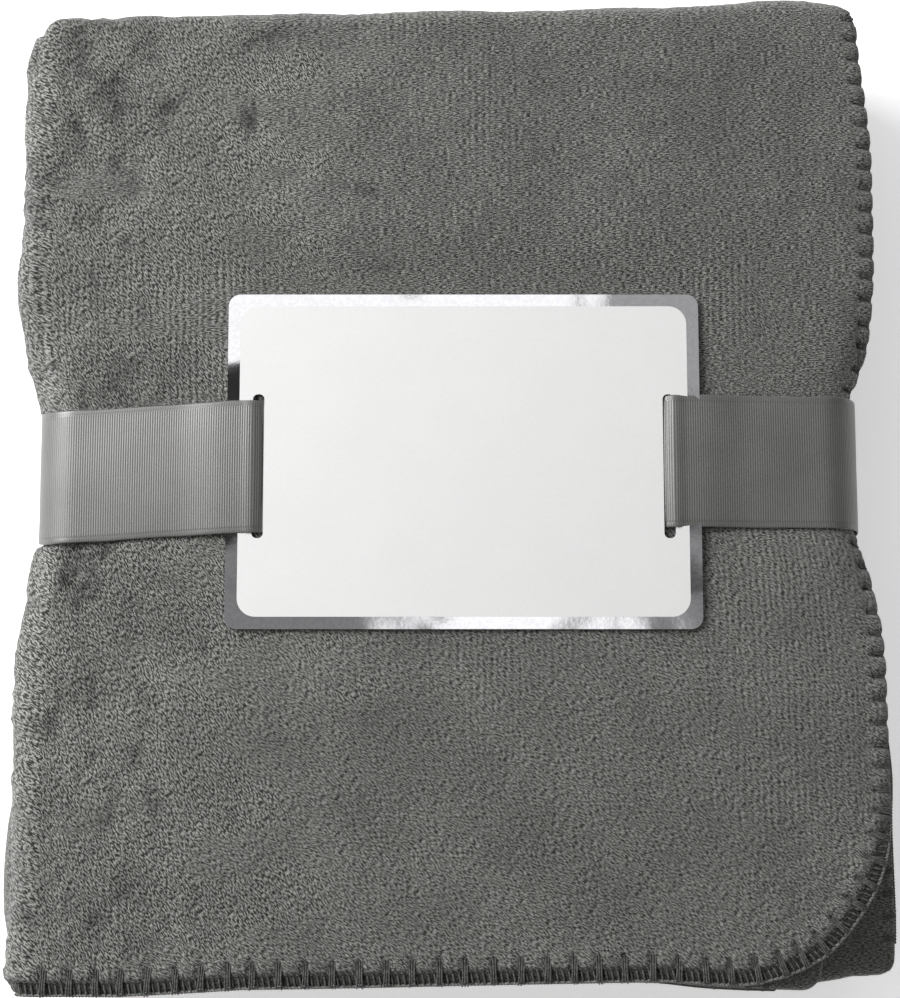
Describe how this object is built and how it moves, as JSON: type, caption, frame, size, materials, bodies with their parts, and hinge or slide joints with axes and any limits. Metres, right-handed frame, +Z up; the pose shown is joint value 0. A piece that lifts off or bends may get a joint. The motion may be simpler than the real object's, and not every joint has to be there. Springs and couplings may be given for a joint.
{
  "type": "folded throw blanket",
  "caption": "Folded grey fleece throw with stitched edges and a loose rounded corner, held by a ribbon band that threads a blank silver-edged label card.",
  "frame": {"origin": "centre of the folded pack's footprint, on the surface it lies on", "axes": "+X towards the side with the stitched free edges, +Y towards the smooth folded end, +Z up through the pack's thickness"},
  "size_m": [0.264, 0.296, 0.0667],
  "materials": {
    "fleece": "matte",
    "yarn": "matte",
    "ribbon": "satin",
    "tape": "matte",
    "board": "matte",
    "foil": "polished",
    "print": "matte"
  },
  "bodies": {
    "blanket": {"cloth_leaf_1": "fleece", "cloth_leaf_2": "fleece", "cloth_leaf_3": "fleece", "cloth_leaf_4": "fleece", "cloth_leaf_5": "fleece", "cloth_leaf_6": "fleece", "top_ply": "fleece", "edge_yarn_side": "yarn", "edge_yarn_end": "yarn"},
    "corner": {"corner_flap": "fleece", "edge_yarn_corner": "yarn"},
    "band": {"ribbon_left": "ribbon", "ribbon_right": "ribbon", "ribbon_tape": "tape"},
    "card": {"card_board": "board", "card_foil": "foil", "card_print": "print", "ribbon_behind_card": "ribbon"}
  },
  "joints": [
    {"name": "band_slide", "type": "slide", "parent": "blanket", "child": "band", "axis": [0, 1, 0], "range_m": [-0.21, 0.21], "deforming": ["cloth_leaf_1", "cloth_leaf_2", "cloth_leaf_3", "cloth_leaf_4", "cloth_leaf_5", "cloth_leaf_6", "top_ply", "corner_flap", "edge_yarn_side", "edge_yarn_end", "edge_yarn_corner"]},
    {"name": "card_slide", "type": "slide", "parent": "band", "child": "card", "axis": [1, 0, 0], "range_m": [-0.03, 0.025]},
    {"name": "corner_turn", "type": "hinge", "parent": "blanket", "child": "corner", "pos_m": [0.0845, -0.1005, 0.066], "axis": [-0.7071, -0.7071, 0], "range_deg": [0, 150]}
  ]
}
